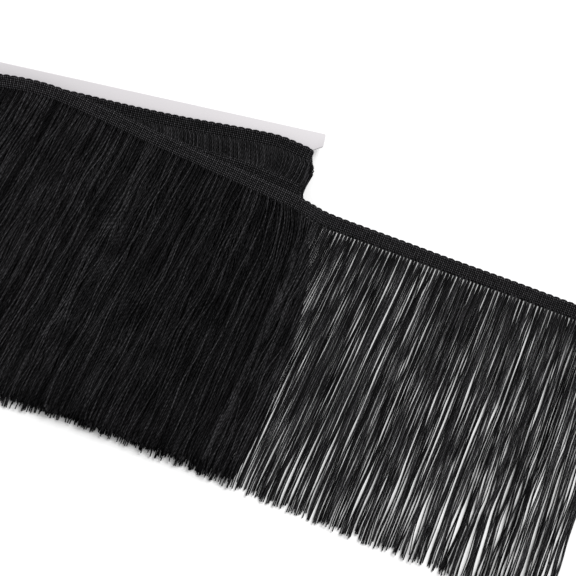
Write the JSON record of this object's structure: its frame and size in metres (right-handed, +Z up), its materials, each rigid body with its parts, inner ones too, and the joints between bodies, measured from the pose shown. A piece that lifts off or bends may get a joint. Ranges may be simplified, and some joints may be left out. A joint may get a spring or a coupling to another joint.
{
  "type": "fringe trim wound on a card",
  "caption": "Black cut-yarn fringe trim on a narrow scalloped heading, wound round a flat pale card that shows above it, with its loose end laid out to one side.",
  "frame": {"origin": "on the flat underside that lies on the table, below the middle of the card", "axes": "+X along the card towards the trim's loose end, +Y across the card away from the hanging fringe, +Z up"},
  "size_m": [0.5169, 0.2841, 0.0136],
  "materials": {
    "card": "plain pale lilac-grey board, matt",
    "wound_yarn": "black twisted yarn with a soft sheen, crocheted heading",
    "loose_yarn": "black twisted yarn with a soft sheen, crocheted heading"
  },
  "bodies": {
    "root": {"card": "card", "wound_trim": "wound_yarn", "loose_end": "loose_yarn"}
  },
  "joints": []
}
